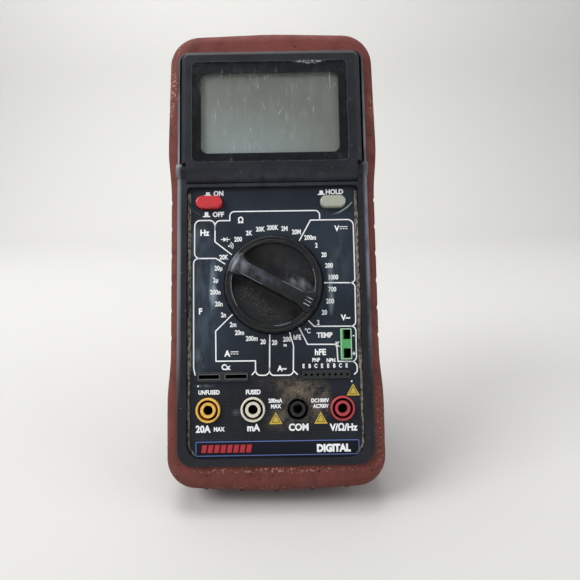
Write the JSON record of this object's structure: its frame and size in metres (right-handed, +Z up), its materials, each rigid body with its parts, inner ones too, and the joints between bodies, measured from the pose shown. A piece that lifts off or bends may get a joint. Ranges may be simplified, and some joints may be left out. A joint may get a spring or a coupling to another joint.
{
  "type": "bench multimeter",
  "caption": "Digital multimeter with a flip-up display, rotary range knob, two push buttons and banana jacks, in a rubber holster with a tilt stand.",
  "frame": {"origin": "middle of the flat heel at the holster's lower back edge, on the bench top", "axes": "+Z up, -Y out of the face's side (the face leans back 20 degrees), +X to the right as one reads it"},
  "size_m": [0.095, 0.1, 0.2014],
  "materials": {
    "holster_rubber": "worn matt rubber",
    "stand_plastic": "moulded, matt",
    "steel": "plain",
    "case_plastic": "satin moulded plastic",
    "panel_print": "printed satin film",
    "battery_can": "printed jacket",
    "black_plastic": "satin",
    "lead_red": "insulated wire",
    "circuit_board": "solder mask",
    "fuse_glass": "clear",
    "brass": "plain",
    "trimmer_blue": "moulded",
    "button_red": "moulded, worn",
    "button_grey": "moulded, worn",
    "socket_green": "moulded",
    "window_clear": "clear acrylic, scratched",
    "mask_black": "printed border",
    "lcd_grey": "unlit liquid crystal",
    "white_plastic": "moulded",
    "zebra_rubber": "conductive elastomer",
    "flex_amber": "polyimide",
    "knob_plastic": "worn satin",
    "jack_yellow": "moulded",
    "jack_white": "moulded",
    "jack_black": "moulded",
    "jack_red": "moulded",
    "nickel": "plated"
  },
  "bodies": {
    "case": {"holster": "holster_rubber", "stand_hinge_pin": "steel", "rear_shell": "case_plastic", "front_shell": "case_plastic", "faceplate": "panel_print", "case_screws": "steel", "battery_door": "case_plastic", "battery_door_screw": "steel", "battery_9v": "battery_can", "battery_snap": "black_plastic", "battery_leads": "lead_red", "main_board": "circuit_board", "board_screws": "steel", "adc_chip": "black_plastic", "fuse": "fuse_glass", "fuse_clips": "brass", "current_shunt": "brass", "buzzer": "black_plastic", "trimmers": "trimmer_blue", "capacitors": "trimmer_blue", "power_switch": "black_plastic", "hold_switch": "black_plastic", "cx_socket": "black_plastic", "cx_contacts": "brass", "hfe_socket": "black_plastic", "hfe_contacts": "brass", "temp_socket": "socket_green", "temp_contacts": "brass", "lid_hinge_pins": "steel", "display_flex": "flex_amber", "jack_shroud_20a": "jack_yellow", "jack_contact_20a": "nickel", "jack_shroud_ma": "jack_white", "jack_contact_ma": "nickel", "jack_shroud_com": "jack_black", "jack_contact_com": "nickel", "jack_shroud_volt": "jack_red", "jack_contact_volt": "nickel"},
    "stand": {"tilt_stand": "stand_plastic"},
    "display_lid": {"lid_front": "case_plastic", "lid_back": "case_plastic", "lid_screws": "steel", "display_window": "window_clear", "window_mask": "mask_black", "lcd_glass": "lcd_grey", "lcd_holder": "white_plastic", "zebra_strips": "zebra_rubber", "display_board": "circuit_board"},
    "range_knob": {"selector_knob": "knob_plastic", "knob_rotor": "white_plastic", "detent_balls": "steel", "detent_springs": "steel", "wiper_contacts": "brass"},
    "power_key": {"power_button": "button_red"},
    "hold_key": {"hold_button": "button_grey"}
  },
  "joints": [
    {"name": "stand_hinge", "type": "hinge", "parent": "case", "child": "stand", "pos_m": [0, 0.0443, 0.09949], "axis": [1, 0, 0], "range_deg": [-32, 0]},
    {"name": "display_tilt", "type": "hinge", "parent": "case", "child": "display_lid", "pos_m": [0, 0.01855, 0.14015], "axis": [1, 0, 0], "range_deg": [0, 60]},
    {"name": "knob_turn", "type": "hinge", "parent": "case", "child": "range_knob", "pos_m": [0, 0.00168, 0.09234], "axis": [0, -0.9397, 0.342], "continuous": true},
    {"name": "power_press", "type": "slide", "parent": "case", "child": "power_key", "axis": [0, 0.9397, -0.342], "range_m": [0, 0.0025], "stiffness_N_per_m": 400, "springref_m": -0.001},
    {"name": "hold_press", "type": "slide", "parent": "case", "child": "hold_key", "axis": [0, 0.9397, -0.342], "range_m": [0, 0.0025], "stiffness_N_per_m": 400, "springref_m": -0.001}
  ]
}
